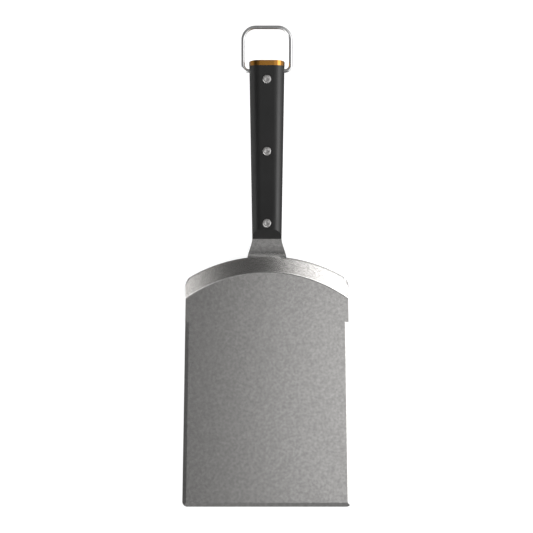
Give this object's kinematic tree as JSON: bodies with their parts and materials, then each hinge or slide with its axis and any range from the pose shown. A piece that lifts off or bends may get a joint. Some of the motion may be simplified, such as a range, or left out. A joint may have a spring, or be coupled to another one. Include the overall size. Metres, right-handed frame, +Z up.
{
  "type": "grill spatula",
  "caption": "Wide stainless grill spatula with an arched rear wall, riveted black handle, orange-gold end cap and swivelling wire hanging loop.",
  "frame": {"origin": "middle of the whole object's length and width, on the surface that the blade lies on", "axes": "+Y from the blade's front edge towards the handle and the hanging loop, +Z up from the blade, +X to the right"},
  "size_m": [0.1436, 0.4077, 0.074],
  "materials": {
    "blade_steel": "satin stainless with a fine mottled grain and ground edges",
    "handle_black": "satin black moulding",
    "cap_metal": "orange-gold anodised, satin",
    "loop_wire": "polished wire",
    "rivet_steel": "turned and tumbled"
  },
  "bodies": {
    "spatula": {"blade": "blade_steel", "handle_scale_upper": "handle_black", "handle_scale_lower": "handle_black", "end_cap": "cap_metal", "rivet_sleeve_front": "rivet_steel", "rivet_pin_front": "rivet_steel", "rivet_sleeve_middle": "rivet_steel", "rivet_pin_middle": "rivet_steel", "rivet_sleeve_rear": "rivet_steel", "rivet_pin_rear": "rivet_steel"},
    "loop": {"hanging_loop": "loop_wire"}
  },
  "joints": [
    {"name": "loop_swing", "type": "hinge", "parent": "spatula", "child": "loop", "pos_m": [0, 0.1658, 0.06203], "axis": [1, 0, 0], "range_deg": [-161, 161]}
  ]
}
